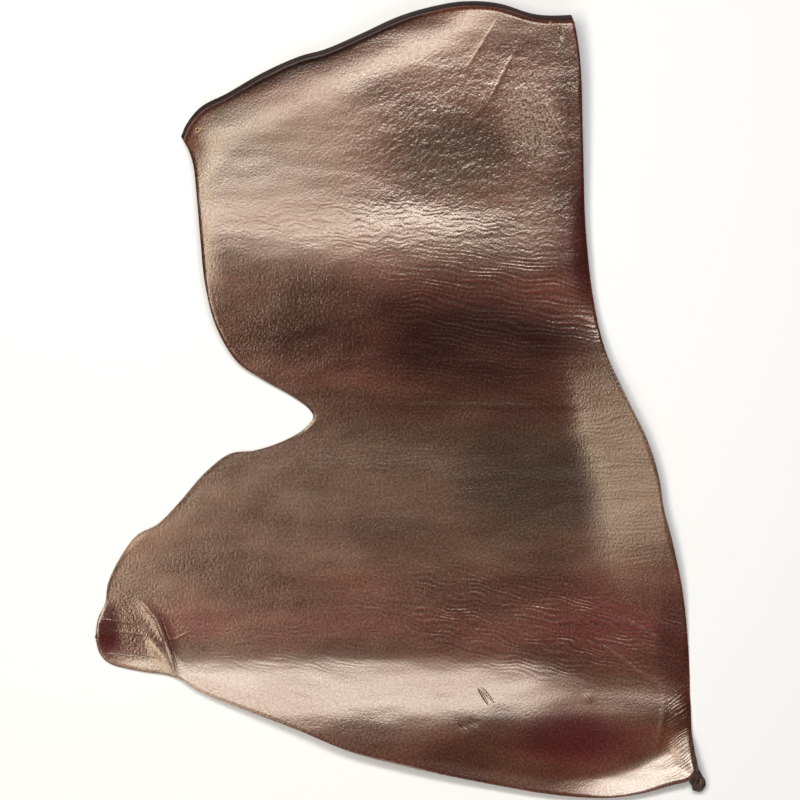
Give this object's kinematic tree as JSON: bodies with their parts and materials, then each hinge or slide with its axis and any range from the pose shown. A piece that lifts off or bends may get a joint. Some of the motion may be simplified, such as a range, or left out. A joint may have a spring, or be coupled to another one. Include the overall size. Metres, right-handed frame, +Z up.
{
  "type": "cordovan leather hide",
  "caption": "Tanned whole horse butt laid grain side up: one thin sheet with a low arch, curled borders, a deep tail notch and a shrivelled tail end at one corner.",
  "frame": {"origin": "on the floor, under the centre of the hide's box", "axes": "+X from the tail notch along the spine, +Y across the spine toward the narrower half, +Z up from the grain side"},
  "size_m": [0.9158, 1.1898, 0.0468],
  "materials": {
    "cordovan": "glazed, dark reddish brown, with creased and pebbled grain"
  },
  "bodies": {
    "root": {"hide": "cordovan"}
  },
  "joints": []
}
